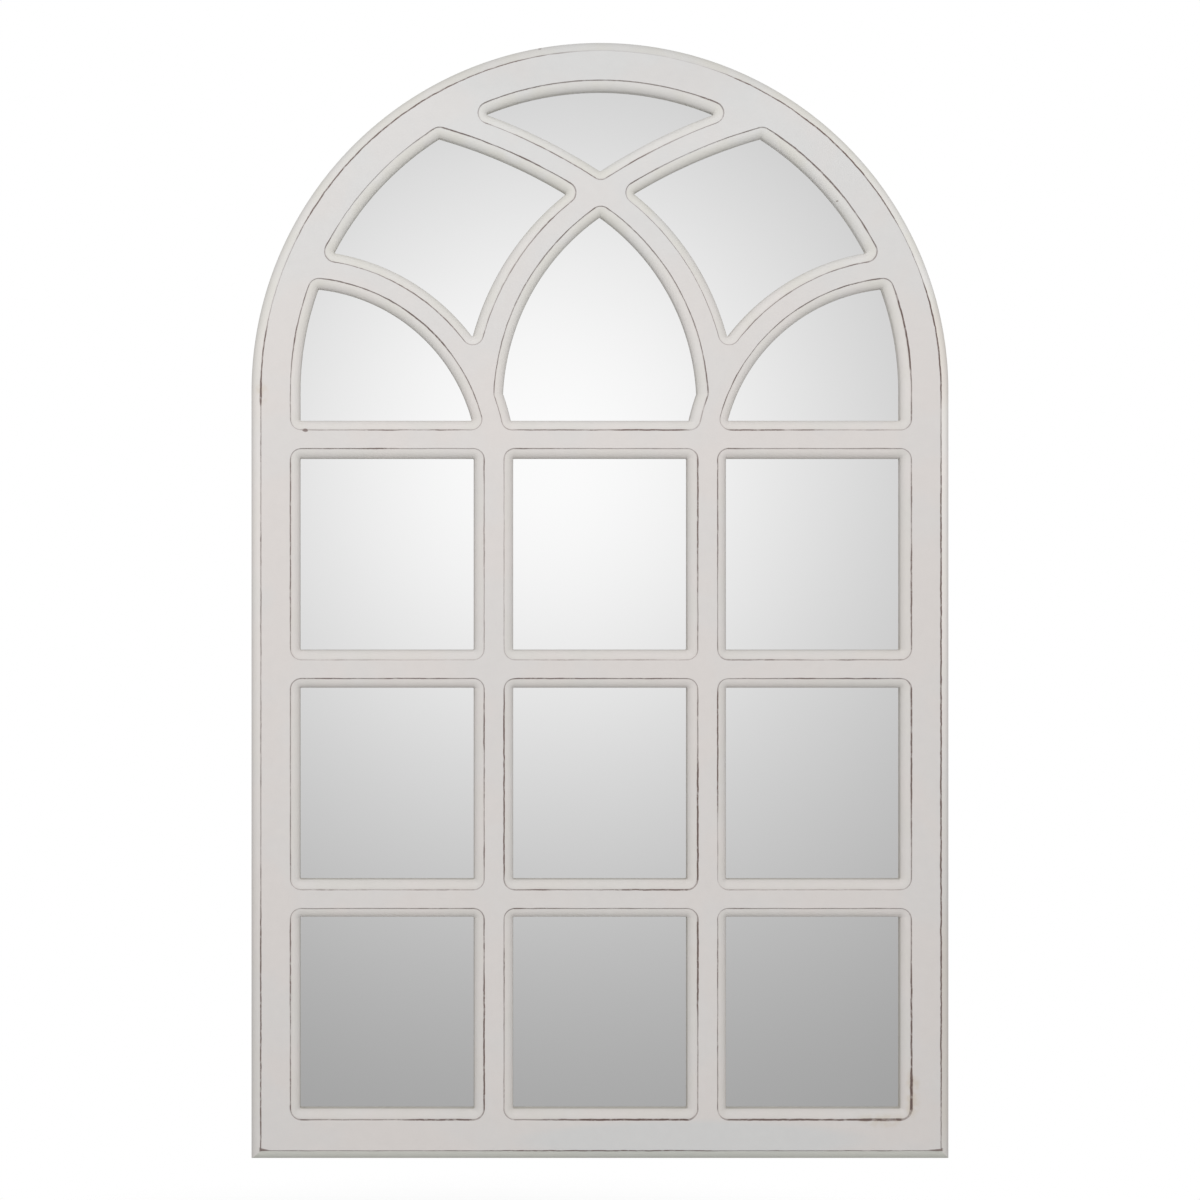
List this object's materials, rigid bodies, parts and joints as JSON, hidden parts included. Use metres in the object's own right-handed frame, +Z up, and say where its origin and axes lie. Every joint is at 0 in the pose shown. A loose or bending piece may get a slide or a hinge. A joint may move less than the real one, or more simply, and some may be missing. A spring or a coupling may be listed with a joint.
{
  "type": "arched window mirror",
  "caption": "Tall arched wall mirror: one sheet of glass behind a routed lattice of square panes and crossing tracery bars, with a back board and two swinging D rings.",
  "frame": {"origin": "on the wall plane, midway between the two hooks that carry the raised rings; the bottom edge is 766 mm below it", "axes": "+Z up, +Y towards the wall, -Y the mirror's front, +X to the right of someone facing the mirror"},
  "size_m": [0.7, 0.027, 1.12],
  "materials": {
    "painted_board": "matt off-white chalk paint on fibreboard, brushed, with its arrises rubbed through to brown",
    "mirror_glass": "clear float glass, silvered on its back",
    "packing_card": "brown corrugated card",
    "hardboard": "bare brown hardboard",
    "zinc_screw": "bright zinc plate",
    "zinc_strap": "zinc-plated steel strip",
    "zinc_wire": "bright plated steel wire",
    "bumper_rubber": "dark grey rubber"
  },
  "bodies": {
    "mirror": {"lattice_panel": "painted_board", "rim_left_stile": "painted_board", "rim_right_stile": "painted_board", "rim_bottom_rail": "painted_board", "rim_arch_left": "painted_board", "rim_arch_crown": "painted_board", "rim_arch_right": "painted_board", "mirror_glass": "mirror_glass", "packing_card": "packing_card", "back_board": "hardboard", "back_board_screws": "zinc_screw", "hanger_strap_left": "zinc_strap", "hanger_strap_right": "zinc_strap", "hanger_screws_left": "zinc_screw", "hanger_screws_right": "zinc_screw", "bumper_left": "bumper_rubber", "bumper_right": "bumper_rubber"},
    "ring_left": {"hanger_ring_left": "zinc_wire"},
    "ring_right": {"hanger_ring_right": "zinc_wire"}
  },
  "joints": [
    {"name": "ring_left_swing", "type": "hinge", "parent": "mirror", "child": "ring_left", "pos_m": [-0.327, -0.0032, -0.016], "axis": [1, 0, 0], "range_deg": [0, 180]},
    {"name": "ring_right_swing", "type": "hinge", "parent": "mirror", "child": "ring_right", "pos_m": [0.327, -0.0032, -0.016], "axis": [1, 0, 0], "range_deg": [0, 180]}
  ]
}
